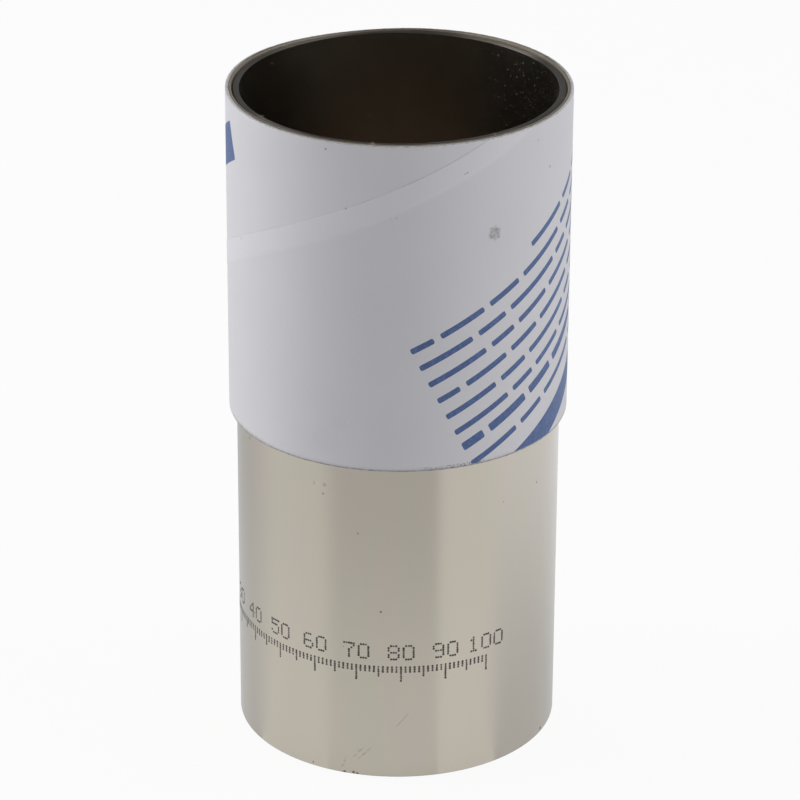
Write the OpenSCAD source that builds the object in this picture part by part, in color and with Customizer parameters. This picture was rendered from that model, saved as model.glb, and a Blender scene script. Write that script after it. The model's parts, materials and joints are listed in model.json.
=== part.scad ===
// Roll of stainless shim stock: a wound strip that stands on end, held by a paper tube over its upper half.
// Millimetres. +Z runs up the roll's axis, and the origin is the centre of the end that it stands on.

/* [Strip] */
// Width of the strip, which is the height of the wound coil
strip_w = 150; // [100:1:310]
// Thickness of the strip
strip_t = 0.25; // [0.1:0.01:0.5]
// Length of the strip, wound to the nearest half turn
strip_l = 1250; // [500:50:2500]
// How far the break on each slit edge reaches across the strip's thickness
edge_break = 0.03; // [0.01:0.01:0.04]
// How far the break on each slit edge reaches along the strip's width
edge_depth = 0.08; // [0.02:0.01:0.2]

/* [Coil] */
// Largest diameter of the coil, twice the reach of the strip's outer end
coil_d = 72; // [60:1:150]
// Direction of the strip's outer end, seen from above
outer_end_angle = 100; // [0:5:355]

/* [Sleeve] */
// Length of the paper tube
sleeve_l = 74.5; // [20:0.5:95]
// Thickness of the tube's wall
sleeve_wall = 1.4; // [0.8:0.1:3]
// Radial clearance between the coil and the tube
sleeve_fit = 0.2; // [0.05:0.05:0.5]
// Height of the tube's cut edge above the coil's upper end
sleeve_proud = 0.5; // [0:0.1:2]
// Rounding of the tube's cut edges
sleeve_edge_r = 0.3; // [0.1:0.05:0.35]

/* [Hidden] */

$fn = 180;

coil_r = coil_d / 2;

// The ring that the strip's edge fills has the area of its length times its thickness
wound_bore_r = sqrt(coil_r * coil_r - strip_l * strip_t / PI);
half_turns = round((coil_r - wound_bore_r) / (strip_t / 2));

// A spiral of round arcs: the half turns take two centres in turn, which lie half a thickness apart
centre_shift = strip_t / 4;
outer_half_r = coil_r - centre_shift;
inner_half_r = outer_half_r - strip_t / 2;
outer_half_layers = ceil(half_turns / 2);
inner_half_layers = floor(half_turns / 2);

sleeve_bore_r = coil_r + sleeve_fit;
sleeve_top = strip_w + sleeve_proud;

// Points along one slit end of the coil, from its bore outwards, with a small V between the turns
function slit_end(outside_r, layers, end_z, sunk_z) =
    let (bore_r = outside_r - layers * strip_t)
    concat(
        [[bore_r, sunk_z]],
        [for (layer = [0 : layers - 1], point = [
            [bore_r + layer * strip_t + edge_break, end_z],
            [bore_r + (layer + 1) * strip_t - edge_break, end_z],
            [bore_r + (layer + 1) * strip_t, sunk_z]
        ]) point]
    );

function reversed(points) = [for (i = [len(points) - 1 : -1 : 0]) points[i]];

// Section through the turns on one side of the coil
module turns_section(outside_r, layers) {
    polygon(concat(
        slit_end(outside_r, layers, 0, edge_depth),
        reversed(slit_end(outside_r, layers, strip_w, strip_w - edge_depth))
    ));
}

// Half of the coil, turned about its own centre
module coil_half(outside_r, layers, centre_x) {
    translate([centre_x, 0, 0])
        rotate_extrude(angle = 180)
            turns_section(outside_r, layers);
}

// The wound strip: the half that carries the outer end, and the half that runs on under it
module shim_coil() {
    color("#b9b2a5")
        rotate(outer_end_angle) {
            rotate(180)
                coil_half(outer_half_r, outer_half_layers, -centre_shift);
            coil_half(inner_half_r, inner_half_layers, -centre_shift);
        }
}

// Section of the tube's wall, standing at its bore, with rounded corners
module sleeve_section() {
    inset_w = sleeve_wall - 2 * sleeve_edge_r;
    inset_l = sleeve_l - 2 * sleeve_edge_r;
    translate([sleeve_edge_r, 0])
        square([inset_w, sleeve_l]);
    translate([0, sleeve_edge_r])
        square([sleeve_wall, inset_l]);
    for (x = [sleeve_edge_r, sleeve_wall - sleeve_edge_r], y = [sleeve_edge_r, sleeve_l - sleeve_edge_r])
        translate([x, y])
            circle(r = sleeve_edge_r);
}

// Spiral-wound paper tube that keeps the coil from springing open
module sleeve() {
    color("#d4d4d8")
        translate([0, 0, sleeve_top - sleeve_l])
            rotate_extrude()
                translate([sleeve_bore_r, 0])
                    sleeve_section();
}

shim_coil();
sleeve();
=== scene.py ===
"""Shim stock roll: a stainless strip wound on end and held by a spiral-wound paper tube."""

import json
import math
import random

import bmesh
import bpy
from bpy.props import FloatProperty, FloatVectorProperty, IntProperty, PointerProperty
from mathutils import Matrix, Quaternion, Vector, noise


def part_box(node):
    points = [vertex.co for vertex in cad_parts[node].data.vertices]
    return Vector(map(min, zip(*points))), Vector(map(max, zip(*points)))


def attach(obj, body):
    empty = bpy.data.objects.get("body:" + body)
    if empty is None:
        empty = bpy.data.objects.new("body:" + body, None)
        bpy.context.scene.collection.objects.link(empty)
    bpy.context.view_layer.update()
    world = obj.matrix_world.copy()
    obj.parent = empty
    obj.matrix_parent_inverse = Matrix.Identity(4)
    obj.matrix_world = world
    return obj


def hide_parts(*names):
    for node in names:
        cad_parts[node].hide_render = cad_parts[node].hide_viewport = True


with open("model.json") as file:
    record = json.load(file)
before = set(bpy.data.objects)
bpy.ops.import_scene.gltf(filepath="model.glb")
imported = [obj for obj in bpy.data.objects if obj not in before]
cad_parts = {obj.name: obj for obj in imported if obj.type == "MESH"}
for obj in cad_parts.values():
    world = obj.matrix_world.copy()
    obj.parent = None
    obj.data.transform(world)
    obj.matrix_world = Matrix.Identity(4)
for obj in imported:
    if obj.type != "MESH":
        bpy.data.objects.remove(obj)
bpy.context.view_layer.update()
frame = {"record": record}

bl_info = {
    "name": "Shim Stock Roll",
    "version": (1, 0, 0),
    "blender": (4, 5, 0),
    "location": "3D View > Sidebar > Shim Roll",
    "description": "Builds a standing roll of stainless shim strip in its paper tube",
    "category": "Add Mesh",
}

MM = 0.001
COIL_LOW, COIL_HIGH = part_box("shim_coil")
TUBE_LOW, TUBE_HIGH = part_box("sleeve")
BORE = next(mount for mount in frame["record"]["mounts"] if mount["name"] == "bore")
BODY = "root"
FLAT_MAP = "unrolled"
LEAST_SPECK = 0.3
SPECK_SOFTNESS = 0.25
FAINTEST = 0.2
NOISE_SEED = 7


def size(name, description, default_mm):
    """A length that the panel shows, given here in millimetres."""
    default = default_mm * MM
    return FloatProperty(name=name, description=description, default=default, unit="LENGTH", precision=6)


def turn(name, description, default_degrees):
    """An angle that the panel shows, given here in degrees."""
    default = math.radians(default_degrees)
    return FloatProperty(name=name, description=description, default=default, subtype="ANGLE")


def colour(name, description, default):
    """A linear colour that the panel shows."""
    limits = {"subtype": "COLOR", "min": 0, "max": 1}
    return FloatVectorProperty(name=name, description=description, default=default, **limits)


class StripSettings(bpy.types.PropertyGroup):
    """The wound strip."""

    width: size("Width", "Width of the strip, which is the coil's height", (COIL_HIGH.z - COIL_LOW.z) / MM)
    pitch: size("Pitch", "Step from one turn to the next", 0.25)
    gap: size("Gap", "Hairline gap between turns", 0.012)
    radius: size("Radius", "Reach of the strip's outer end from the axis", 36.0)
    half_turns: IntProperty(name="Half Turns", description="Half turns in the coil", default=11, min=3)
    outer_end: turn("Outer End", "Direction of the strip's outer end, seen from above", 100)
    edge_round: size("Edge Round", "Rounding of the slit edges", 0.085)
    steel: colour("Steel", "Colour of the rolled face", (0.59, 0.548, 0.476))
    slit_edge: colour("Slit Edge", "Colour of the slit edges", (0.095, 0.087, 0.076))


class TubeSettings(bpy.types.PropertyGroup):
    """The paper tube."""

    radius: size("Radius", "Largest radius of the tube, over its lap", TUBE_HIGH.x / MM)
    wall: size("Wall", "Thickness of the tube's wall", 1.4)
    low: size("Lower Edge", "Height of the lower cut edge", TUBE_LOW.z / MM)
    high: size("Upper Edge", "Height of the upper cut edge, under its fibres", TUBE_HIGH.z / MM - 0.05)
    back_drop: size("Back Drop", "How far the upper edge falls at its lowest, at the back", 0.5)
    drop_turn: turn("Drop Turn", "How far round from the back the upper edge is lowest", 22)
    ply: size("Ply", "Thickness of the white outer ply", 0.36)
    lap_rise: size("Lap Rise", "How far the lap of the outer ply stands up", 0.08)
    lap_width: size("Lap Width", "Width of the lap, square to its edges", 5.6)
    lap_height: size("Lap Height", "Height of the lap's middle at the front", 138.2)
    lap_slope: turn("Lap Slope", "Climb of the lap round the tube", 24.8)
    edge_round: size("Edge Round", "Rounding of the board's cut edges", 0.16)
    paper: colour("Paper", "Colour of the white ply", (0.725, 0.722, 0.762))
    board: colour("Board", "Colour of the grey board", (0.27, 0.23, 0.18))
    fibre: colour("Fibre", "Colour of the loose fibres", (0.50, 0.46, 0.40))


class PrintSettings(bpy.types.PropertyGroup):
    """The plain blue bars on the tube and the ink-jet scale on the strip."""

    rows: IntProperty(name="Rows", description="Rows of thin bars", default=8, min=1)
    row_start: size("Row Start", "Where the first row starts, round the tube from the front", 3.0)
    row_height: size("Row Height", "Height at which the first row starts", 103.4)
    row_slope: turn("Row Slope", "Climb of the rows round the tube", 26.5)
    row_pitch: size("Row Pitch", "Step from one row to the next", 4.4)
    row_length: size("Row Length", "Length of a full row", 66.0)
    bar_height: size("Bar Height", "Height of a thin bar", 1.35)
    bold_height: size("Bold Height", "Height of a bold bar", 5.6)
    film: size("Film", "Thickness of the ink films", 0.008)
    blue: colour("Blue", "Colour of the bars", (0.072, 0.122, 0.285))
    dot_pitch: size("Dot Pitch", "Step between the dots of the scale", 0.55)
    dot_radius: size("Dot Radius", "Radius of one dot", 0.275)
    label_height: size("Label Height", "Height of the lowest dots of the scale's numbers", 29.6)
    tick_height: size("Tick Height", "Height of the top dots of the scale's ticks", 27.6)
    scale_end: size("Scale End", "Where the scale's last tick stands, round the strip from the front", 21.0)
    black: colour("Black", "Colour of the scale's dots", (0.05, 0.043, 0.036))


class StageSettings(bpy.types.PropertyGroup):
    """The camera, the lights and the floor."""

    focal_length: FloatProperty(
        name="Focal Length", description="Focal length of the camera", default=180.13, unit="CAMERA"
    )
    distance: size("Distance", "Distance of the camera from the roll's middle", 892)
    elevation: turn("Elevation", "Height of the camera above the horizon", 24.655)
    roll: turn("Roll", "Turn of the camera about its own axis", 0.304)
    aim_right: size("Aim Right", "How far the camera aims to the right of the roll's middle", 0.47)
    aim_up: size("Aim Up", "How far the camera aims above the roll's middle", 0.73)
    ambient: FloatProperty(name="Ambient", description="Strength of the light from all round", default=0.31)
    floor: colour("Floor", "Colour of the floor", (0.86, 0.86, 0.86))


class RollSettings(bpy.types.PropertyGroup):
    """Everything that the roll's operators read."""

    strip: PointerProperty(type=StripSettings)
    tube: PointerProperty(type=TubeSettings)
    prints: PointerProperty(type=PrintSettings)
    stage: PointerProperty(type=StageSettings)


def math_step(operation):
    """A method that lays one Math node for a value and another value or number."""
    return lambda self, other: self.step(operation, self, other)


class Shade:
    """A shader value that Python sums can use: each step lays one Math node."""

    def __init__(self, board, socket):
        self.board = board
        self.socket = socket

    def also(self, output):
        """Another output of the same node."""
        return Shade(self.board, self.socket.node.outputs[output])

    def step(self, operation, *terms):
        return self.board.node("ShaderNodeMath", {"operation": operation}, dict(enumerate(terms)))

    __add__ = __radd__ = math_step("ADD")
    __sub__ = math_step("SUBTRACT")
    __mul__ = __rmul__ = math_step("MULTIPLY")
    __truediv__ = math_step("DIVIDE")
    __pow__ = math_step("POWER")
    at_most = math_step("MINIMUM")
    at_least = math_step("MAXIMUM")

    def __rsub__(self, other):
        return self.step("SUBTRACT", other, self)

    def __abs__(self):
        return self.step("ABSOLUTE", self)

    def between(self, start, end):
        """1 between two soft ends, each given as where it is 0 and where it is 1."""
        return self.rise(*start) * self.rise(*end)

    def rise(self, low, high):
        """Climbs smoothly from 0 at low to 1 at high, or falls where high is the lower of the two."""
        sockets = {"Value": self, "From Min": low, "From Max": high}
        return self.board.node("ShaderNodeMapRange", {"interpolation_type": "SMOOTHSTEP"}, sockets)


class NodeBoard:
    """Lays nodes on the tree of a material or the world."""

    def __init__(self, owner):
        owner.use_nodes = True
        self.owner = owner
        self.tree = owner.node_tree
        self.tree.nodes.clear()

    def node(self, kind, settings=None, sockets=None, output=0):
        """Makes one node, sets it up, fills or links its sockets, and gives one of its outputs."""
        made = self.tree.nodes.new(kind)
        for name, value in (settings or {}).items():
            setattr(made, name, value)
        for key, value in (sockets or {}).items():
            if isinstance(value, Shade):
                self.tree.links.new(value.socket, made.inputs[key])
            else:
                made.inputs[key].default_value = value
        return Shade(self, made.outputs[output]) if len(made.outputs) else None

    def blend(self, amount, first, second):
        """A colour between two colours."""
        return self.node("ShaderNodeMix", {"data_type": "RGBA"}, {0: amount, 6: first, 7: second}, 2)

    def stretched(self, place, across, up):
        sockets = {0: place, 1: (across, up, 1.0)}
        return self.node("ShaderNodeVectorMath", {"operation": "MULTIPLY"}, sockets)

    def scaled(self, vector, factor):
        return self.node("ShaderNodeVectorMath", {"operation": "SCALE"}, {0: vector, "Scale": factor})

    def noise(self, place, scale, detail=2.0):
        """Smooth noise about 0.5."""
        return self.node("ShaderNodeTexNoise", {}, {"Vector": place, "Scale": scale, "Detail": detail})

    def flat_mm(self):
        """The unrolled place on a piece, in millimetres: across from the front, and height."""
        return self.scaled(self.node("ShaderNodeUVMap", {"uv_map": FLAT_MAP}), 1 / MM)

    def object_mm(self):
        """The place in the roll's own frame, in millimetres."""
        return self.scaled(self.node("ShaderNodeTexCoord", {}, {}, "Object"), 1 / MM)

    def split(self, vector):
        first = self.node("ShaderNodeSeparateXYZ", {}, {0: vector})
        return first, first.also(1), first.also(2)

    def bump(self, height, strength, distance_mm):
        sockets = {"Height": height, "Strength": strength, "Distance": distance_mm * MM}
        return self.node("ShaderNodeBump", {}, sockets)

    def specks(self, place, cell_mm, radius_mm, share):
        """How strong scattered specks are: a share of the cells hold one, each of its own size."""
        sockets = {"Vector": place, "Scale": 1 / cell_mm}
        cells = self.node("ShaderNodeTexVoronoi", {"voronoi_dimensions": "2D"}, sockets)
        chance, bigness, strength = self.split(cells.also("Color"))
        reach = (bigness * (1 - LEAST_SPECK) + LEAST_SPECK) * (radius_mm / cell_mm)
        inside = (reach - cells).rise(0.0, SPECK_SOFTNESS * radius_mm / cell_mm)
        return inside * chance.step("LESS_THAN", chance, share) * (strength * (1 - FAINTEST) + FAINTEST)

    def ray_kinds(self):
        """1 on rays from the camera, and 1 on those that gloss or glass sends on."""
        camera = self.node("ShaderNodeLightPath", {}, {}, "Is Camera Ray")
        onward = (camera.also("Is Glossy Ray") + camera.also("Is Transmission Ray")).at_most(1.0)
        return camera, onward * (1.0 - camera)

    def surface(self, **sockets):
        """Ends the material in one Principled shader. Underscores stand for the spaces in socket names."""
        named = {key.replace("_", " "): value for key, value in sockets.items()}
        shader = self.node("ShaderNodeBsdfPrincipled", {}, named)
        self.node("ShaderNodeOutputMaterial", {}, {"Surface": shader})
        return self.owner


def solid(rgb, factor=1.0):
    """A colour socket's value."""
    return (rgb[0] * factor, rgb[1] * factor, rgb[2] * factor, 1.0)


def new_material(name):
    return NodeBoard(bpy.data.materials.new(name))


def front_angle(point):
    """Angle round the axis from the front, growing to the right as the camera sees it."""
    return math.atan2(point.x, -point.y)


def on_roll(across, height, radius, reference):
    """The place at a distance across from the front, unrolled at the reference radius."""
    angle = across / reference
    return Vector((radius * math.sin(angle), -radius * math.cos(angle), height))


def roll_up(bm, radius_at, reference):
    """Bends a flat layout round the axis: X is across, Y is height and Z stands off the surface."""
    for vert in bm.verts:
        across, height, off = vert.co
        vert.co = on_roll(across, height, radius_at(across / reference) + off, reference)


def mark_flat(bm, reference):
    """Gives each face corner its unrolled place as a UV, in metres."""
    layer = bm.loops.layers.uv.new(FLAT_MAP)
    for face in bm.faces:
        middle = front_angle(face.calc_center_median())
        for loop in face.loops:
            angle = front_angle(loop.vert.co)
            angle += math.tau * round((middle - angle) / math.tau)
            loop[layer].uv = (angle * reference, loop.vert.co.z)


def cut(bm, point, normal, clear=False):
    """Cuts everything along a plane, and clears what lies ahead of it if asked."""
    geometry = bm.verts[:] + bm.edges[:] + bm.faces[:]
    bmesh.ops.bisect_plane(
        bm, geom=geometry, plane_co=point, plane_no=normal, dist=1e-7, clear_outer=clear
    )


def round_corners(bm, corners, radius):
    """Rounds the corners of a flat face."""
    bmesh.ops.bevel(
        bm, geom=corners, offset=radius, offset_type="OFFSET",
        segments=3, profile=0.5, affect="VERTICES", material=-1,
    )


def stand_up(bm):
    """Turns a flat section upright, so that its Y becomes height."""
    upright = Matrix.Rotation(math.pi / 2, 3, "X")
    bmesh.ops.rotate(bm, verts=bm.verts[:], cent=(0, 0, 0), matrix=upright)


def thicken(bm, thickness):
    """Turns a flat layout into closed films, from its own face outwards."""
    bmesh.ops.recalc_face_normals(bm, faces=bm.faces[:])
    grown = bmesh.ops.extrude_face_region(bm, geom=bm.faces[:])["geom"]
    verts = [item for item in grown if isinstance(item, bmesh.types.BMVert)]
    bmesh.ops.translate(bm, verts=verts, vec=(0, 0, thickness))


def absorb(bm, part):
    """Moves another layout's shapes into this one."""
    carrier = bpy.data.meshes.new("carrier")
    part.to_mesh(carrier)
    part.free()
    bm.from_mesh(carrier)
    bpy.data.meshes.remove(carrier)


def hand_in(name, bm, materials, stands_for=None):
    """Makes the piece's object, which rides on the roll's one body."""
    mesh = bpy.data.meshes.new(name)
    bm.to_mesh(mesh)
    bm.free()
    for material in materials:
        mesh.materials.append(material)
    piece = bpy.data.objects.new(name, mesh)
    bpy.context.scene.collection.objects.link(piece)
    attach(piece, BODY)
    if stands_for:
        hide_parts(stands_for)


def distance(right, up):
    return (right * right + up * up) ** 0.5


def mark_at(x, y, across_mm, height_mm, radius_mm, ragged):
    """1 inside one mark at an unrolled place, with an edge that a noise makes ragged."""
    apart = distance(x - across_mm, y - height_mm)
    return (apart + ragged).rise(radius_mm, radius_mm * 0.6)


def stroke_at(x, y, start, end, width_mm):
    """1 along one thin straight stroke between two unrolled places, fading at its ends."""
    run = Vector(end) - Vector(start)
    middle = (Vector(start) + Vector(end)) / 2
    ahead = run.normalized()
    along = (x - middle.x) * ahead.x + (y - middle.y) * ahead.y
    aside = (y - middle.y) * ahead.x - (x - middle.x) * ahead.y
    return abs(along).rise(run.length * 0.55, run.length * 0.3) * abs(aside).rise(width_mm, width_mm * 0.2)


# Where the roll's upper rim is painted with shade at the back and with highlights, seen from above

SHADE_BACK_MM = (22.0, 36.0)
SHADE_ACROSS_MM = (17.0, 4.0)
HIGHLIGHT_PLACES_MM = ((23.0, 26.0, 15.0, 1.0), (-21.0, 28.0, 14.0, 0.45))
HIGHLIGHT_CORE_MM = 5.0


def rim_grime(x, y):
    """Painted shade: 1 where the upper rim is painted darker, at the back."""
    return y.rise(*SHADE_BACK_MM) * abs(x).rise(*SHADE_ACROSS_MM)


def rim_clean(x, y):
    """Painted highlight: 1 where the upper rim is painted lighter, at the back on the right, and less so on
    the left.
    """
    right, left = (
        distance(x - across, y - back).rise(reach, HIGHLIGHT_CORE_MM) * share
        for across, back, reach, share in HIGHLIGHT_PLACES_MM
    )
    return right.at_least(left)


# The wound strip

HALF_TURN_STEPS = 96
TURN_LIFT_MM = (0.0, 0.02, 0.06, 0.03, 0.09, 0.11, 0.05, 0.02, 0.07, 0.10, 0.04, 0.06)
ROLLED_FACE = 0
SLIT_FACE = 1
SLIT_LEAN = 0.1
STRIP_CREASE = math.radians(20)
# Colour of the painted shade on the slit edges at the back of the rim
SLIT_SHADE = (0.03, 0.026, 0.02, 1.0)


def strip_section(bm, strip):
    """The strip's cross-section as one face with rounded corners, standing at its outer end."""
    thickness = strip.pitch - strip.gap
    bmesh.ops.create_grid(bm, x_segments=1, y_segments=1, size=0.5)
    bmesh.ops.scale(bm, verts=bm.verts[:], vec=(thickness, strip.width, 1))
    round_corners(bm, bm.verts[:], strip.edge_round)
    stand_up(bm)
    reach = strip.radius - thickness / 2
    bmesh.ops.translate(bm, verts=bm.verts[:], vec=(reach, 0, strip.width / 2))
    facing = Matrix.Rotation(strip.outer_end, 3, "Z")
    bmesh.ops.rotate(bm, verts=bm.verts[:], cent=(0, 0, 0), matrix=facing)


def wind_strip(bm, strip):
    """Winds the section inwards by half turns, about two centres in turn. No turn stands quite level."""
    ahead = Vector((math.cos(strip.outer_end), math.sin(strip.outer_end), 0))
    shift = strip.pitch / 4
    geometry = bm.verts[:] + bm.edges[:] + bm.faces[:]
    for half in range(strip.half_turns):
        centre = ahead * (shift if half % 2 == 0 else -shift)
        climb = TURN_LIFT_MM[(half + 1) % len(TURN_LIFT_MM)] - TURN_LIFT_MM[half % len(TURN_LIFT_MM)]
        wound = bmesh.ops.spin(
            bm, geom=geometry, cent=centre, axis=(0, 0, 1), dvec=(0, 0, climb * MM / HALF_TURN_STEPS),
            angle=-math.pi, steps=HALF_TURN_STEPS, use_duplicate=False,
        )
        geometry = wound["geom_last"]
    bmesh.ops.recalc_face_normals(bm, faces=bm.faces[:])


def strip_reach(strip, angle):
    """Distance of the outermost turn's face from the axis, at an angle from the front."""
    from_end = (angle - math.pi / 2 - strip.outer_end) % math.tau
    shift = strip.pitch / 4
    if from_end < math.pi:
        centre, radius = -shift, strip.radius - 3 * shift
    else:
        centre, radius = shift, strip.radius - shift
    return centre * math.cos(from_end) + math.sqrt(radius ** 2 - (centre * math.sin(from_end)) ** 2)


STEEL_MARKS_MM = (
    (-3.5, 41.3, 0.32, 0.7),
    (36.7, 64.8, 0.32, 0.5),
    (25.2, 64.1, 0.26, 0.35),
    (-8.6, 59.9, 0.28, 0.4),
    (-16.4, 70.3, 0.55, 0.22),
    (-16.8, 68.1, 0.26, 0.5),
    (-19.0, 70.2, 0.45, 0.14),
    (-40.9, 73.4, 0.5, 0.3),
    (-11.7, 0.2, 0.45, 0.8),
    (-9.6, 0.5, 0.42, 0.75),
    (-8.7, 0.3, 0.32, 0.7),
    (-19.5, 0.8, 0.3, 0.5),
    (41.1, 0.9, 0.5, 0.9),
)
STEEL_STROKES_MM = (
    ((0.0, 12.7), (2.8, 16.2), 0.22),
    ((-9.9, 4.0), (-7.4, 6.9), 0.3),
    ((-8.8, 3.7), (-5.4, 7.4), 0.34),
    ((-9.0, 5.4), (-8.0, 6.6), 0.24),
    ((-12.4, 1.2), (-11.2, 4.2), 0.4),
)
STEEL_SPECKS = (17.0, 0.18, 0.3)
STEEL_ROUGHNESS = 0.215
STEEL_DIRT = (0.10, 0.08, 0.06, 1.0)
BORE_MM = BORE["dims"]["r_mm"]
BORE_EDGE_MM = (BORE_MM + 0.22, BORE_MM + 0.18)
BORE_POLISH = 0.05
DUST_GREY = (0.75, 0.72, 0.67, 1.0)
DUST_ACROSS_MM = (6.0, 28.0)
DUST_UP_MM = (85.0, 120.0)
FINE_DUST = (1.0, 0.19, 0.75)
SPARSE_DUST = (4.0, 0.22, 0.7)
DUST_STRENGTH = 0.5


def steel_marks(board, place):
    """How dark the strip's few specks, bits of grime and scratches are."""
    across, height, _ = board.split(place)
    ragged = (board.noise(place, 2.2, 3.0) - 0.5) * 0.7
    worn = board.noise(place, 1.2, 3.0).rise(0.35, 0.6)
    dark = board.specks(place, *STEEL_SPECKS) * 0.5
    for x, y, radius, strength in STEEL_MARKS_MM:
        dark = dark.at_least(mark_at(across, height, x, y, radius, ragged) * strength)
    for stroke in STEEL_STROKES_MM:
        dark = dark.at_least(stroke_at(across, height, *stroke) * worn * 0.22)
    return dark


def bore_dust(board, place):
    """1 on the bore's wall, and how much dust lies there, most of it on the upper right."""
    x, y, z = board.split(board.object_mm())
    inside = distance(x, y).rise(*BORE_EDGE_MM)
    thick = x.rise(*DUST_ACROSS_MM) * z.rise(*DUST_UP_MM)
    fine = board.specks(place, *FINE_DUST) * thick
    sparse = board.specks(place, *SPARSE_DUST) * 0.8
    return inside, fine.at_least(sparse) * inside * DUST_STRENGTH


def steel_finish(strip):
    """Rolled stainless: a satin face with a faint grain, soft tints, dust and a few specks."""
    board = new_material("rolled_steel")
    place = board.flat_mm()
    grain = board.noise(board.stretched(place, 0.04, 3.0), 1.0, 3.0)
    cloud = board.noise(board.stretched(place, 0.11, 0.02), 1.0, 2.0)
    mottle = board.noise(place, 0.10, 3.0)
    red, green, blue = strip.steel
    rosy = solid((red * 1.003, green * 0.987, blue * 0.995))
    olive = solid((red * 0.994, green * 1.004, blue * 0.985))
    dark = steel_marks(board, place)
    inside, dust = bore_dust(board, place)
    tone = board.blend(dark, board.blend(cloud.rise(0.36, 0.64), rosy, olive), STEEL_DIRT)
    return board.surface(
        Base_Color=board.blend(dust, tone, DUST_GREY),
        Metallic=1.0 - dark.at_least(dust),
        Roughness=STEEL_ROUGHNESS + (grain - 0.5) * 0.03 + (mottle - 0.5) * 0.05 - inside * BORE_POLISH,
        Anisotropic=0.5,
        Anisotropic_Rotation=0.25,
        Normal=board.bump(mottle + grain * 0.03, 0.06, 0.05),
    )


def slit_finish(strip):
    """The slit edges: duller, with fine marks along the strip."""
    board = new_material("slit_edges")
    place = board.object_mm()
    marks = board.noise(place, 3.0, 3.0)
    x, y, _ = board.split(place)
    tone = board.blend(marks, solid(strip.slit_edge, 0.75), solid(strip.slit_edge, 1.25))
    # Painted highlight: the slit edges are painted much lighter where the rim highlight lies.
    bright = board.blend(rim_clean(x, y), tone, solid(strip.slit_edge, 2.3))
    return board.surface(
        # Painted shade: the slit edges are painted darker at the back of the rim.
        Base_Color=board.blend(rim_grime(x, y) * 0.7, bright, SLIT_SHADE),
        Metallic=1.0,
        Roughness=0.25 + marks * 0.08,
        Anisotropic=0.6,
        Anisotropic_Rotation=0.25,
    )


class ROLL_OT_wind_strip(bpy.types.Operator):
    """Winds the stainless strip into its coil"""

    bl_idname = "shim_roll.wind_strip"
    bl_label = "Wind Strip"

    def execute(self, context):
        strip = context.scene.shim_roll.strip
        bm = bmesh.new()
        strip_section(bm, strip)
        wind_strip(bm, strip)
        mark_flat(bm, strip.radius)
        for face in bm.faces:
            face.smooth = True
            face.material_index = SLIT_FACE if abs(face.normal.z) > SLIT_LEAN else ROLLED_FACE
        for edge in bm.edges:
            kinds = {face.material_index for face in edge.link_faces}
            edge.smooth = len(kinds) == 1 and edge.calc_face_angle(math.pi) < STRIP_CREASE
        hand_in("wound_strip", bm, [steel_finish(strip), slit_finish(strip)], "shim_coil")
        return {"FINISHED"}


# The ink-jet scale on the strip

DIGITS = {
    "0": " ### |#   #|#   #|#   #|#   #|#   #| ### ",
    "1": "  #  | ##  |  #  |  #  |  #  |  #  | ### ",
    "2": " ### |#   #|    #|   # |  #  | #   |#####",
    "3": " ### |#   #|    #|  ## |    #|#   #| ### ",
    "4": "   # |  ## | # # |#  # |#####|   # |   # ",
    "5": "#####|#    |#### |    #|    #|#   #| ### ",
    "6": " ### |#    |#    |#### |#   #|#   #| ### ",
    "7": "#####|    #|   # |  #  |  #  |  #  |  #  ",
    "8": " ### |#   #|#   #| ### |#   #|#   #| ### ",
    "9": " ### |#   #|#   #| ####|    #|    #| ### ",
}
DIGIT_ROWS = 7
DIGIT_STEP = 6
SCALE_TICKS = 100
TICKS_PER_LABEL = 10
TICK_STEP = 1.0 * MM
LONG_TICK, HALF_TICK, SHORT_TICK = 7, 5, 3
DOT_SIDES = 7
DOT_WANDER = 0.06 * MM
DOT_PATCH = 0.7 * MM


def scale_dots(prints):
    """Unrolled places of the scale's dots: a tick each millimetre, and a plain number at each ten."""
    pitch = prints.dot_pitch
    for tick in range(SCALE_TICKS + 1):
        across = prints.scale_end - (SCALE_TICKS - tick) * TICK_STEP
        labelled = tick % TICKS_PER_LABEL == 0
        halfway = tick % TICKS_PER_LABEL == TICKS_PER_LABEL // 2
        dots = LONG_TICK if labelled else HALF_TICK if halfway else SHORT_TICK
        for dot in range(dots):
            yield across, prints.tick_height - dot * pitch
        if not labelled:
            continue
        label = str(tick)
        start = across - (len(label) * DIGIT_STEP - 2) * pitch / 2
        for place, digit in enumerate(label):
            for row, line in enumerate(DIGITS[digit].split("|")):
                for column, mark in enumerate(line):
                    if mark == "#":
                        left = start + (place * DIGIT_STEP + column) * pitch
                        yield left, prints.label_height + (DIGIT_ROWS - 1 - row) * pitch


def dot_finish(prints):
    """Ink-jet ink, thin in places."""
    board = new_material("dot_ink")
    patchy = board.noise(board.object_mm(), 1.6, 2.0)
    return board.surface(
        Base_Color=board.blend(patchy.rise(0.35, 0.75), solid(prints.black), solid(prints.black, 1.7)),
        Roughness=0.45 + patchy * 0.2,
    )


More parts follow.
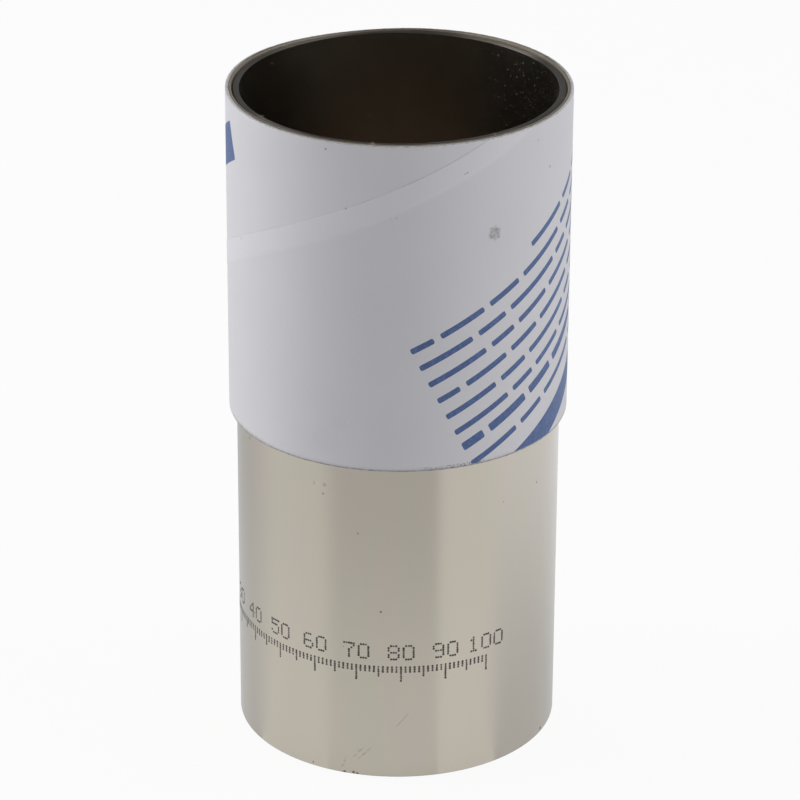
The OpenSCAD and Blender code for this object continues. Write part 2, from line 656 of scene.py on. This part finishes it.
class ROLL_OT_mark_scale(bpy.types.Operator):
    """Puts the dotted scale on the strip"""

    bl_idname = "shim_roll.mark_scale"
    bl_label = "Mark Scale"

    def execute(self, context):
        roll = context.scene.shim_roll
        prints, strip = roll.prints, roll.strip
        noise.seed_set(NOISE_SEED)
        bm = bmesh.new()
        for across, height in scale_dots(prints):
            drift = noise.noise_vector(Vector((across, height, 0)) / DOT_PATCH) * DOT_WANDER
            radius = prints.dot_radius * (1 + 0.25 * drift.z / DOT_WANDER)
            place = Matrix.Translation((across + drift.x, height + drift.y, 0))
            bmesh.ops.create_circle(bm, cap_ends=True, segments=DOT_SIDES, radius=radius, matrix=place)
        thicken(bm, prints.film)
        roll_up(bm, lambda angle: strip_reach(strip, angle), strip.radius)
        bmesh.ops.recalc_face_normals(bm, faces=bm.faces[:])
        hand_in("strip_scale", bm, [dot_finish(prints)])
        return {"FINISHED"}


# The paper tube

SHEET_COLUMNS = 960
BOARD_STEPS = 720
STEP_RUN = 0.05 * MM
RAMP_RUN = 1.3 * MM
CRUSH_RUN = 0.35 * MM
CRUSH_DROP = 0.09 * MM
EDGE_ROWS = (0.06 * MM, 0.16 * MM, 0.35 * MM, 1.2 * MM)
FRAY = 0.08 * MM
TEAR = 0.55 * MM
FINE_TEAR = 0.2 * MM
RIM_CUTS = 4
GLUE_LINE = 0.03 * MM
BOARD_SHY = 0.05 * MM
LEVEL = 0.001 * MM
LAP_CREASE = math.radians(2)
RIM_CREASE = math.radians(40)
DROP_SHARPNESS = 14
PAPER_FACE = 0
BOARD_FACE = 1


def lap_distance(tube, across, height):
    """Distance square to the lap from its middle, taking the nearest turn of the helix."""
    climb = math.tau * tube.radius * math.tan(tube.lap_slope)
    off = height - tube.lap_height - across * math.tan(tube.lap_slope)
    off -= climb * round(off / climb)
    return off * math.cos(tube.lap_slope)


def lap_stand(tube, across, height):
    """How far the outer ply stands up over its own lap: a step at the upper edge, a ramp at the lower."""
    off = lap_distance(tube, across, height)
    half = tube.lap_width / 2
    up = min(max((off + half) / RAMP_RUN, 0), 1)
    down = min(max((half - off) / STEP_RUN, 0), 1)
    return tube.lap_rise * min(up, down)


def lap_lines(tube):
    """A point and a normal for each line of the flat layout along which the outer ply bends at its lap."""
    square = Vector((-math.sin(tube.lap_slope), math.cos(tube.lap_slope), 0))
    climb = math.tau * tube.radius * math.tan(tube.lap_slope)
    half = tube.lap_width / 2
    for turns in (0, -1):
        middle = Vector((0, tube.lap_height + turns * climb, 0))
        for off in (-half, -half + RAMP_RUN, half - STEP_RUN, half):
            yield middle + square * off, square


def lower_back(bm, tube):
    """Lets the upper edge dip a little at the back on the left, as the rim's outline does."""
    for vert in bm.verts:
        climb = (vert.co.z - tube.low) / (tube.high - tube.low)
        behind = (1 - math.cos(front_angle(vert.co) - tube.drop_turn)) / 2
        vert.co.z -= tube.back_drop * behind ** DROP_SHARPNESS * climb


def outer_ply(bm, tube):
    """The white ply, laid out flat with its lap and cut edges, then given its thickness and rolled up."""
    face_radius = tube.radius - tube.lap_rise
    reference = tube.radius
    girth = math.tau * reference
    bmesh.ops.create_grid(bm, x_segments=SHEET_COLUMNS, y_segments=1, size=0.5)
    bmesh.ops.scale(bm, verts=bm.verts[:], vec=(girth, tube.high - tube.low, 1))
    bmesh.ops.translate(bm, verts=bm.verts[:], vec=(0, (tube.high + tube.low) / 2, 0))
    for inset in EDGE_ROWS:
        for height in (tube.low + inset, tube.high - inset):
            cut(bm, (0, height, 0), (0, 1, 0))
    for point, normal in lap_lines(tube):
        cut(bm, point, normal)
    for vert in bm.verts:
        across, height, _ = vert.co
        from_edge = min(height - tube.low, tube.high - height)
        crush = max(1 - from_edge / CRUSH_RUN, 0) ** 2 * CRUSH_DROP
        vert.co.z = lap_stand(tube, across, height) - crush
    thicken(bm, -tube.ply)
    ends = [face for face in bm.faces if min(abs(v.co.x) for v in face.verts) > girth / 2 - STEP_RUN]
    bmesh.ops.delete(bm, geom=ends, context="FACES")
    roll_up(bm, lambda angle: face_radius, reference)
    bmesh.ops.remove_doubles(bm, verts=bm.verts[:], dist=1e-6)
    bmesh.ops.recalc_face_normals(bm, faces=bm.faces[:])
    for edge in bm.edges:
        level = abs(edge.verts[0].co.z - edge.verts[1].co.z) < LEVEL
        edge.smooth = edge.calc_face_angle(0) < (RIM_CREASE if level else LAP_CREASE)


def board_core(bm, tube):
    """The grey board inside the white ply, turned from its rounded section."""
    outer = tube.radius - tube.lap_rise - tube.ply - GLUE_LINE
    bore = tube.radius - tube.wall
    low, high = tube.low + BOARD_SHY, tube.high - BOARD_SHY
    made = bmesh.ops.create_grid(bm, x_segments=1, y_segments=1, size=0.5)
    bmesh.ops.scale(bm, verts=made["verts"], vec=(outer - bore, high - low, 1))
    round_corners(bm, made["verts"], tube.edge_round)
    across = [edge for edge in bm.edges if abs(edge.verts[0].co.y - edge.verts[1].co.y) < STEP_RUN]
    bmesh.ops.subdivide_edges(bm, edges=across, cuts=RIM_CUTS)
    stand_up(bm)
    bmesh.ops.translate(bm, verts=bm.verts[:], vec=((outer + bore) / 2, 0, (high + low) / 2))
    bmesh.ops.delete(bm, geom=bm.faces[:], context="FACES_ONLY")
    bmesh.ops.spin(
        bm, geom=bm.verts[:] + bm.edges[:], cent=(0, 0, 0), axis=(0, 0, 1), dvec=(0, 0, 0),
        angle=math.tau, steps=BOARD_STEPS, use_merge=True, use_duplicate=False,
    )
    bmesh.ops.recalc_face_normals(bm, faces=bm.faces[:])


def fray(bm, tube):
    """Roughens the cut edges, where the saw tore the fibres."""
    for vert in bm.verts:
        from_edge = min(vert.co.z - tube.low, tube.high - vert.co.z)
        if from_edge < CRUSH_RUN - LEVEL:
            torn = noise.noise_vector(vert.co / TEAR) + 0.5 * noise.noise_vector(vert.co / FINE_TEAR)
            inwards = 1 if vert.co.z < (tube.low + tube.high) / 2 else -1
            vert.co.z += inwards * abs(torn.z) * FRAY
            vert.co.x += torn.x * FRAY * 0.5
            vert.co.y += torn.y * FRAY * 0.5


def helix_marks(tube, x, y):
    """Masks along the lap: 1 on the lap, and 1 on the thin line at its upper edge, which carries a painted
    shadow.
    """
    slope = math.tan(tube.lap_slope)
    climb = math.tau * tube.radius / MM * slope
    off = y - tube.lap_height / MM - x * slope
    nearest = (off - climb * (off / climb).step("ROUND", off / climb)) * math.cos(tube.lap_slope)
    half = tube.lap_width / MM / 2
    on_lap = nearest.rise(-half - 0.3, -half + 1.0) * nearest.rise(half + 0.05, half - 0.05)
    # Painted shadow: the thin line along the lap's upper edge
    line = abs(nearest - half).rise(0.14, 0.02)
    return on_lap, line


PAPER_MARKS_MM = (
    (14.1, 143.55, 0.21, 0.55),
    (14.6, 143.75, 0.21, 0.55),
    (-11.2, 136.0, 0.24, 0.55),
    (38.3, 139.4, 0.38, 0.4),
    (-15.7, 148.7, 0.30, 0.5),
    (33.6, 146.7, 0.30, 0.3),
    (-1.5, 134.3, 0.32, 0.16),
    (-0.5, 134.6, 0.30, 0.14),
    (-41.8, 121.4, 0.30, 0.3),
    (-16.0, 82.0, 4.0, 0.022),
    (-13.0, 86.5, 2.2, 0.025),
)
SMUDGE_MM = (21.35, 128.9, 1.8)
SMUDGE_GREY = (0.17, 0.165, 0.155, 1.0)
# Colour of the soil and of the painted shadow along the lap
SOIL_AND_SHADOW = (0.09, 0.08, 0.07, 1.0)
BACK_MM = (60.0, 85.0)
SIDE_MM = 58.0
SIDE_REACH_MM = (24.0, 6.0)
CAKED_MM = ((3.5, 7.0), (21.0, 18.5))
SMEARED_MM = ((-47.0, -43.0), (-28.0, -37.0))


def edge_soil(tube, x, y, worn, ragged):
    """How much soil lies along the paper's lower edge, and how much it is torn along its upper one."""
    low, high = tube.low / MM, tube.high / MM
    lower = y.rise(low + 0.60, low + 0.16) * (0.35 + worn.rise(0.25, 0.7) * 0.45)
    behind = abs(x).rise(*BACK_MM)
    at_side = abs(abs(x) - SIDE_MM).rise(*SIDE_REACH_MM)
    torn = (0.3 + worn.rise(0.35, 0.65) * 0.45) * (1.0 - at_side * 0.7) + behind * 0.25
    bits = ragged.rise(0.0, 0.2)
    upper = y.rise(high - 0.17, high - 0.05) * torn
    upper = upper.at_least(y.rise(high - 0.34, high - 0.14) * bits * 0.6)
    caked = x.between(*CAKED_MM)
    smeared = x.between(*SMEARED_MM)
    blots = y.rise(low + 1.15, low + 0.6) * bits * caked.at_least(smeared * 0.5) * 0.85
    smear = y.rise(low + 1.1, low + 0.3) * (0.13 + smeared * 0.14)
    return lower.at_least(blots).at_least(smear), upper


def paper_finish(tube):
    """Coated white paper: faint clouds, the lap, a smudge, specks, rubbed streaks, soil at the edges and a
    painted shadow along the lap's upper edge.
    """
    board = new_material("white_ply")
    place = board.flat_mm()
    x, y, _ = board.split(place)
    cloud = board.noise(place, 0.05, 3.0)
    fibre = board.noise(place, 1.4, 4.0)
    worn = board.noise(place, 0.8, 3.0)
    streak = board.noise(board.stretched(place, 0.25, 2.2), 0.35, 3.0)
    ragged = (board.noise(place, 1.1, 3.0) - 0.5) * 2.0
    on_lap, line = helix_marks(tube, x, y)
    smudge = mark_at(x, y, *SMUDGE_MM, ragged) * (0.4 + fibre.rise(0.35, 0.7) * 0.5)
    lower, upper = edge_soil(tube, x, y, worn, (board.noise(place, 2.4, 2.0) - 0.5) * 2.0)
    # Painted shadow: a thin dark line along the lap's upper edge, mixed in with the soil and marks.
    dirt_and_shadow = lower.at_least(line * (0.05 + board.noise(place, 0.12, 2.0).rise(0.4, 0.65) * 0.16))
    for across, height, radius, strength in PAPER_MARKS_MM:
        dirt_and_shadow = dirt_and_shadow.at_least(mark_at(x, y, across, height, radius, ragged * radius * 0.7) * strength)
    shade = 0.965 + (cloud - 0.5) * 0.06 + (fibre - 0.5) * 0.035 + on_lap * 0.05
    white = board.scaled(tube.paper[:], shade)
    smudged = board.blend(smudge * 0.7, white, SMUDGE_GREY)
    soiled_and_shaded = board.blend(dirt_and_shadow, smudged, SOIL_AND_SHADOW)
    torn = board.blend(worn.rise(0.3, 0.7), solid(tube.board, 0.35), solid(tube.fibre, 0.6))
    return board.surface(
        Base_Color=board.blend(upper, soiled_and_shaded, torn),
        Roughness=0.56 + (streak - 0.5) * 0.16 + smudge * 0.15,
        Specular_IOR_Level=0.4,
        Normal=board.bump(fibre * 0.5 + streak * 0.5, 0.10, 0.03),
    )


def board_finish(tube):
    """Grey board at the cut edges and in the bore, with its plies as rings."""
    board = new_material("grey_board")
    place = board.object_mm()
    x, y, _ = board.split(place)
    fibre = board.noise(place, 2.2, 4.0)
    from_axis = distance(x, y) + (fibre - 0.5) * 0.12
    bore = (tube.radius - tube.wall) / MM
    # Painted highlight: the board's pale ply is painted lighter and wider where the rim highlight lies.
    rim_glint = rim_clean(x, y)
    ring = (from_axis - bore - rim_glint * 0.3).rise(0.42, 0.52)
    pale = board.blend(fibre + rim_glint * 0.9, solid(tube.board, 0.55), solid(tube.board, 1.1))
    dark = board.blend(fibre, solid(tube.board, 0.2), solid(tube.board, 0.5))
    white = board.blend(fibre, solid(tube.paper, 0.6), solid(tube.paper, 0.95))
    inset = from_axis - bore + abs(x).rise(24.0, 36.0) * 0.32
    shoulder = inset.rise(0.90, 1.02) * y.rise(22.0, 8.0)
    plies = board.blend(shoulder, board.blend(ring, pale, dark), white)
    return board.surface(
        # Painted shade: the board is painted darker at the back of the rim.
        Base_Color=board.blend(rim_grime(x, y) * 0.6, plies, solid(tube.board, 0.12)),
        Roughness=0.9,
        Normal=board.bump(fibre, 0.6, 0.12),
    )


class ROLL_OT_roll_tube(bpy.types.Operator):
    """Rolls the paper tube from its white ply and its board"""

    bl_idname = "shim_roll.roll_tube"
    bl_label = "Roll Tube"

    def execute(self, context):
        tube = context.scene.shim_roll.tube
        noise.seed_set(NOISE_SEED)
        bm = bmesh.new()
        for make, finish in ((board_core, BOARD_FACE), (outer_ply, PAPER_FACE)):
            layer = bmesh.new()
            make(layer, tube)
            fray(layer, tube)
            mark_flat(layer, tube.radius)
            for face in layer.faces:
                face.smooth = True
                face.material_index = finish
            absorb(bm, layer)
        lower_back(bm, tube)
        hand_in("paper_tube", bm, [paper_finish(tube), board_finish(tube)], "sleeve")
        return {"FINISHED"}


# The plain bars printed on the tube

BAR_RUN_MM = (13.0, 7.5, 16.0, 5.5, 11.0, 8.5, 14.5, 6.5, 10.0)
WORD_GAP = 1.7 * MM
BAR_PIECE = 0.6 * MM
BAR_ROUND = 0.4 * MM
BOLD_ROW = 6
BOLD_GAIN = 1.5
SHORT_ROW_START = 35.0 * MM
BROAD_BAR_LENGTH = 44.0 * MM
SIDE_BAR_PLACE = (-58.5 * MM, 131.5 * MM)
SIDE_BAR_SIZE = (15.0 * MM, 8.5 * MM)


def lay_bar(bm, corner, slope, length, height):
    """One flat bar whose lower left corner and slope are given, in short pieces so that it bends."""
    along, across = (max(2, round(side / BAR_PIECE)) for side in (length, height))
    bar = bmesh.ops.create_grid(bm, x_segments=along, y_segments=across, size=0.5)["verts"]
    bmesh.ops.scale(bm, verts=bar, vec=(length, height, 1))
    bmesh.ops.translate(bm, verts=bar, vec=(length / 2, height / 2, 0))
    bmesh.ops.rotate(bm, verts=bar, cent=(0, 0, 0), matrix=Matrix.Rotation(slope, 3, "Z"))
    bmesh.ops.translate(bm, verts=bar, vec=(corner[0], corner[1], 0))
    round_corners(bm, [vert for vert in bar if len(vert.link_edges) == 2], BAR_ROUND)


def lay_rows(bm, prints):
    """Rows of thin bars along the helix, the top one short and one bolder, over one broad bar."""
    slope = prints.row_slope
    along = Vector((math.cos(slope), math.sin(slope), 0))
    down = Vector((math.sin(slope), -math.cos(slope), 0))
    start = Vector((prints.row_start, prints.row_height, 0))
    count = 0
    for row in range(-1, prints.rows):
        height = prints.bar_height * (BOLD_GAIN if row == BOLD_ROW else 1.0)
        run = SHORT_ROW_START if row < 0 else 0
        while run < prints.row_length:
            length = min(BAR_RUN_MM[count % len(BAR_RUN_MM)] * MM, prints.row_length - run)
            corner = start + down * row * prints.row_pitch + along * run
            lay_bar(bm, corner, slope, length, height)
            run += length + WORD_GAP
            count += 1
    corner = start + down * (prints.rows * prints.row_pitch + prints.bold_height) + along * prints.row_pitch
    lay_bar(bm, corner, slope, BROAD_BAR_LENGTH, prints.bold_height)


def blue_finish(prints):
    """Blue printing ink with the paper showing through a little."""
    board = new_material("blue_ink")
    thin = board.noise(board.object_mm(), 1.3, 3.0)
    return board.surface(
        Base_Color=board.blend(thin.rise(0.4, 0.8), solid(prints.blue), solid(prints.blue, 1.5)),
        Roughness=0.5,
        Specular_IOR_Level=0.4,
    )


class ROLL_OT_print_tube(bpy.types.Operator):
    """Prints the plain bars on the tube"""

    bl_idname = "shim_roll.print_tube"
    bl_label = "Print Tube"

    def execute(self, context):
        roll = context.scene.shim_roll
        prints, tube = roll.prints, roll.tube
        bm = bmesh.new()
        lay_rows(bm, prints)
        lay_bar(bm, SIDE_BAR_PLACE, prints.row_slope, *SIDE_BAR_SIZE)
        cut(bm, (0, tube.low + CRUSH_RUN, 0), (0, -1, 0), clear=True)
        cut(bm, (0, tube.high - CRUSH_RUN, 0), (0, 1, 0), clear=True)
        for point, normal in lap_lines(tube):
            cut(bm, point, normal)
        for vert in bm.verts:
            vert.co.z = lap_stand(tube, vert.co.x, vert.co.y)
        thicken(bm, prints.film)
        roll_up(bm, lambda angle: tube.radius - tube.lap_rise, tube.radius)
        bmesh.ops.recalc_face_normals(bm, faces=bm.faces[:])
        lower_back(bm, tube)
        hand_in("tube_print", bm, [blue_finish(prints)])
        return {"FINISHED"}


# The loose fibres on the tube's cut edges

FIBRE_SEED = 7
FIBRE_BATCH = 40
UPPER_FIBRES = 800
LOWER_FIBRES = 280
FIBRE_STEPS = 4
FIBRE_RADIUS = (0.016 * MM, 0.045 * MM)
FIBRE_BEND = (0.12 * MM, 0.5 * MM)
FIBRE_SWING = (0.7, 2.3)
FIBRE_RISE = 0.105 * MM
FIBRE_ROOT = 0.06 * MM
LONG_FIBRES_MM = (-36.4, -34.9, -6.4, -5.3, 22.0, 51.0, -88.0, 97.0)
LONG_RADIUS = 0.07 * MM
LONG_BEND = 1.8 * MM


def lay_fibre(bm, draw, root, heading, bend, radius, upwards):
    """One curved fibre: a small triangle swung about an axis beside it, then pressed down to the nap."""
    first = len(bm.verts)
    place = Matrix.Translation(root)
    bmesh.ops.create_circle(bm, cap_ends=True, segments=3, radius=radius, matrix=place)
    bm.verts.ensure_lookup_table()
    section = bm.verts[first:]
    face = section[0].link_faces[0]
    lean = Vector((math.cos(heading), math.sin(heading), 0))
    bmesh.ops.spin(
        bm, geom=section + face.edges[:] + [face], cent=root + lean * bend, axis=(-lean.y, lean.x, 0),
        dvec=(0, 0, 0), angle=draw.uniform(*FIBRE_SWING), steps=FIBRE_STEPS, use_duplicate=False,
    )
    bm.verts.ensure_lookup_table()
    fibre = bm.verts[first:]
    reach = max(abs(vert.co.z - root.z) for vert in fibre)
    press = FIBRE_RISE * draw.uniform(0.3, 1.0) / reach * (1 if upwards else -1)
    bmesh.ops.scale(bm, verts=fibre, vec=(1, 1, press), space=Matrix.Translation(-root))
    if max(math.hypot(vert.co.x, vert.co.y) for vert in fibre) > TUBE_HIGH.x:
        bmesh.ops.delete(bm, geom=fibre, context="VERTS")


def lay_nap(bm, draw, tube, count, height, upwards):
    """Short fibres scattered round one cut edge."""
    inner, outer = tube.radius - tube.wall * 0.8, tube.radius - 2 * tube.lap_rise
    for _ in range(count):
        across = draw.uniform(-math.pi, math.pi) * tube.radius
        root = on_roll(across, height, draw.uniform(inner, outer), tube.radius)
        bend, radius = draw.uniform(*FIBRE_BEND), draw.uniform(*FIBRE_RADIUS)
        lay_fibre(bm, draw, root, draw.uniform(0, math.tau), bend, radius, upwards)


def lay_long_fibres(bm, draw, tube, height):
    """A few longer fibres that lie inwards over the coil's end."""
    for across in LONG_FIBRES_MM:
        root = on_roll(across * MM, height, tube.radius - tube.wall * 0.9, tube.radius)
        heading = math.atan2(-root.y, -root.x) + draw.uniform(-0.7, 0.7)
        lay_fibre(bm, draw, root, heading, LONG_BEND * draw.uniform(0.6, 1.0), LONG_RADIUS, True)


def fibre_finish(tube):
    """Torn paper fibres, from pale to brown."""
    board = new_material("loose_fibre")
    shade = board.noise(board.object_mm(), 0.9, 2.0)
    return board.surface(
        Base_Color=board.blend(shade.rise(0.35, 0.65), solid(tube.board), solid(tube.fibre, 1.3)),
        Roughness=0.85,
    )


class ROLL_OT_fray_edges(bpy.types.Operator):
    """Lays loose fibres along the tube's cut edges"""

    bl_idname = "shim_roll.fray_edges"
    bl_label = "Fray Edges"

    def execute(self, context):
        tube = context.scene.shim_roll.tube
        draw = random.Random(FIBRE_SEED)
        bm = bmesh.new()
        edges = ((UPPER_FIBRES, tube.high - FIBRE_ROOT, True), (LOWER_FIBRES, tube.low + FIBRE_ROOT, False))
        for count, height, upwards in edges:
            for _ in range(count // FIBRE_BATCH):
                tuft = bmesh.new()
                lay_nap(tuft, draw, tube, FIBRE_BATCH, height, upwards)
                absorb(bm, tuft)
        lay_long_fibres(bm, draw, tube, tube.high - FIBRE_ROOT)
        bmesh.ops.recalc_face_normals(bm, faces=bm.faces[:])
        lower_back(bm, tube)
        hand_in("edge_fibres", bm, [fibre_finish(tube)])
        return {"FINISHED"}


# The stage

FLOOR_RADIUS = 3.0
FLOOR_SIDES = 96
WHITE_FLOOR = 0.92
STEEL_SHARE = 0.7
# Painted reflection: how bright the floor glows to the steel, dim in front, lighter beyond bands to the
# sides, dimmer at the limbs and lighter near the roll.
RIGHT_FLOOR = 0.90
LEFT_FLOOR = 0.80
DIM_FLOOR = 0.58
LEFT_DROP = 0.24
RIGHT_DROP = 0.34
RIGHT_RISE = 0.10
NEAR_GAIN = 0.24
NEAR_MM = (190.0, 40.0)
RIGHT_BAND = (15.0, 5.0)
LEFT_BAND = (-25.0, 11.0)
RIGHT_LIMB = (38.0, 18.0)
LEFT_LIMB = (-58.0, 26.0)
COOL_WHITE = (0.98, 1.0, 1.05, 1.0)
# Painted shade and painted glow: the floor in the bore is darker and browner, and glows faintly in the
# steel's reflections.
UNDER_ROLL_SHADE = (0.62, 0.45, 0.32, 1.0)
BORE_GLOW = (0.45, 0.40, 0.43, 1.0)
SWEEP_LEVEL = 0.45
SWEEP_CLIMB = (0.35, 0.10)
FOOT_MM = (34.7, 35.8)
SENSOR_MM = 36.0
LAMP_AIM = (0, 0, 0.08)
SOFTBOXES = (
    ("left_box", (-0.88, 0.12, 0.40), (0.7, 0.8), 2.72),
    ("right_box", (0.86, -0.20, 0.40), (0.7, 0.8), 1.65),
    ("top_box", (0, 0.35, 1.1), (1.1, 0.9), 1.0),
)


def beside(x, y, face_degrees, soft_degrees):
    """1 on the floor that the steel mirrors beyond one place on its face, 0 nearer the front."""
    side = math.copysign(1, face_degrees)
    face = math.radians(face_degrees)
    radius = COIL_HIGH.x / MM
    from_x = (x - radius * math.sin(face)) * side
    from_y = -1.0 * (y + radius * math.cos(face))
    sight = from_x.step("ARCTAN2", from_x, from_y)
    middle, soft = abs(2 * face), math.radians(soft_degrees)
    return sight.rise(middle - soft, middle + soft)


def add_softbox(name, place, sides, radiance):
    """A plain rectangular lamp that faces the roll, given its brightness."""
    lamp = bpy.data.lights.new(name, "AREA")
    lamp.shape = "RECTANGLE"
    lamp.size, lamp.size_y = sides
    lamp.energy = radiance * math.pi * sides[0] * sides[1]
    box = bpy.data.objects.new(name, lamp)
    box.location = place
    box.rotation_euler = (Vector(LAMP_AIM) - Vector(place)).to_track_quat("-Z", "Y").to_euler()
    box.visible_camera = False
    bpy.context.scene.collection.objects.link(box)


def floor_finish(stage):
    """A pale floor that the camera sees nearly white, with the roll's shadow on it. The steel sees it
    through a painted glow, dim in front and lighter to the sides, and the floor in the bore has painted
    shade and a faint painted glow.
    """
    board = new_material("pale_floor")
    x, y, _ = board.split(board.object_mm())
    from_axis = distance(x, y)
    outside = from_axis.rise(*FOOT_MM)
    near = from_axis.rise(*NEAR_MM)
    right, left = beside(x, y, *RIGHT_BAND), beside(x, y, *LEFT_BAND)
    right_limb, left_limb = beside(x, y, *RIGHT_LIMB), beside(x, y, *LEFT_LIMB)
    sides = right * (RIGHT_FLOOR - DIM_FLOOR) + left * (LEFT_FLOOR - DIM_FLOOR)
    drop = left_limb * LEFT_DROP + right_limb * (near * RIGHT_DROP - RIGHT_RISE)
    # Painted reflection: the glow that the steel sees, banded by direction.
    in_steel = DIM_FLOOR + sides * (1.0 - near * 0.5) + near * NEAR_GAIN - drop
    camera, onward = board.ray_kinds()
    share = camera * WHITE_FLOOR * outside + onward * STEEL_SHARE
    # Painted shade: the floor inside the bore is painted darker and browner.
    under = board.blend(outside, UNDER_ROLL_SHADE, solid(stage.floor))
    cool = board.blend(onward * right_limb.at_least(left_limb), (1, 1, 1, 1), COOL_WHITE)
    glow = board.scaled(cool, camera + onward * in_steel)
    lit = board.node("ShaderNodeBsdfDiffuse", {}, {"Color": under})
    # Painted glow: the floor in the bore glows faintly, and only the steel's reflections see it.
    shown = board.blend(outside, BORE_GLOW, glow)
    white = board.node("ShaderNodeEmission", {}, {"Color": shown, "Strength": 1.0})
    mixed = board.node("ShaderNodeMixShader", {}, {0: share, 1: lit, 2: white})
    board.node("ShaderNodeOutputMaterial", {}, {"Surface": mixed})
    return board.owner


def light_world(stage):
    """Even light from all round, and plain white where it is seen."""
    world = bpy.data.worlds.new("studio")
    bpy.context.scene.world = world
    board = NodeBoard(world)
    camera, onward = board.ray_kinds()
    _, _, climb = board.split(board.node("ShaderNodeTexCoord", {}, {}, "Generated"))
    sweep = climb.rise(*SWEEP_CLIMB)
    strength = camera.at_least(onward * sweep * SWEEP_LEVEL) * (1.0 - stage.ambient) + stage.ambient
    glow = board.node("ShaderNodeBackground", {}, {"Color": (1, 1, 1, 1), "Strength": strength})
    board.node("ShaderNodeOutputWorld", {}, {"Surface": glow})


def set_camera(stage):
    """The camera, at the height and distance that suit the photograph."""
    middle = Vector((0, 0, (COIL_LOW.z + COIL_HIGH.z) / 2))
    back = Vector((0, -math.cos(stage.elevation), math.sin(stage.elevation)))
    up = Vector((0, math.sin(stage.elevation), math.cos(stage.elevation)))
    place = middle + back * stage.distance
    aim = middle + Vector((1, 0, 0)) * stage.aim_right + up * stage.aim_up
    data = bpy.data.cameras.new("camera")
    data.lens = stage.focal_length
    data.sensor_width = SENSOR_MM
    camera = bpy.data.objects.new("camera", data)
    facing = (aim - place).to_track_quat("-Z", "Y") @ Quaternion((0, 0, 1), stage.roll)
    camera.location = place
    camera.rotation_euler = facing.to_euler()
    bpy.context.scene.collection.objects.link(camera)
    bpy.context.scene.camera = camera


class ROLL_OT_set_stage(bpy.types.Operator):
    """Sets the camera, the lamps and the floor"""

    bl_idname = "shim_roll.set_stage"
    bl_label = "Set Stage"

    def execute(self, context):
        stage = context.scene.shim_roll.stage
        context.scene.view_settings.view_transform = "Standard"
        set_camera(stage)
        light_world(stage)
        for softbox in SOFTBOXES:
            add_softbox(*softbox)
        bm = bmesh.new()
        bmesh.ops.create_circle(bm, cap_ends=True, segments=FLOOR_SIDES, radius=FLOOR_RADIUS)
        mesh = bpy.data.meshes.new("floor")
        bm.to_mesh(mesh)
        bm.free()
        mesh.materials.append(floor_finish(stage))
        floor = bpy.data.objects.new("floor", mesh)
        context.scene.collection.objects.link(floor)
        return {"FINISHED"}


class ROLL_PT_sidebar(bpy.types.Panel):
    """The roll's pieces and sizes"""

    bl_idname = "ROLL_PT_sidebar"
    bl_label = "Shim Stock Roll"
    bl_space_type = "VIEW_3D"
    bl_region_type = "UI"
    bl_category = "Shim Roll"

    def draw(self, context):
        roll = context.scene.shim_roll
        for operator in OPERATORS:
            self.layout.operator(operator.bl_idname)
        for group in (roll.strip, roll.tube, roll.prints, roll.stage):
            box = self.layout.box()
            for name in group.__annotations__:
                box.prop(group, name)


GROUPS = (StripSettings, TubeSettings, PrintSettings, StageSettings, RollSettings)
OPERATORS = (
    ROLL_OT_set_stage,
    ROLL_OT_wind_strip,
    ROLL_OT_mark_scale,
    ROLL_OT_roll_tube,
    ROLL_OT_print_tube,
    ROLL_OT_fray_edges,
)
CLASSES = GROUPS + OPERATORS + (ROLL_PT_sidebar,)


def register():
    for cls in CLASSES:
        bpy.utils.register_class(cls)
    bpy.types.Scene.shim_roll = PointerProperty(type=RollSettings)


def unregister():
    del bpy.types.Scene.shim_roll
    for cls in reversed(CLASSES):
        bpy.utils.unregister_class(cls)


def main():
    register()
    bpy.ops.shim_roll.set_stage()
    bpy.ops.shim_roll.wind_strip()
    bpy.ops.shim_roll.mark_scale()
    bpy.ops.shim_roll.roll_tube()
    bpy.ops.shim_roll.print_tube()
    bpy.ops.shim_roll.fray_edges()


if __name__ == "__main__":
    main()
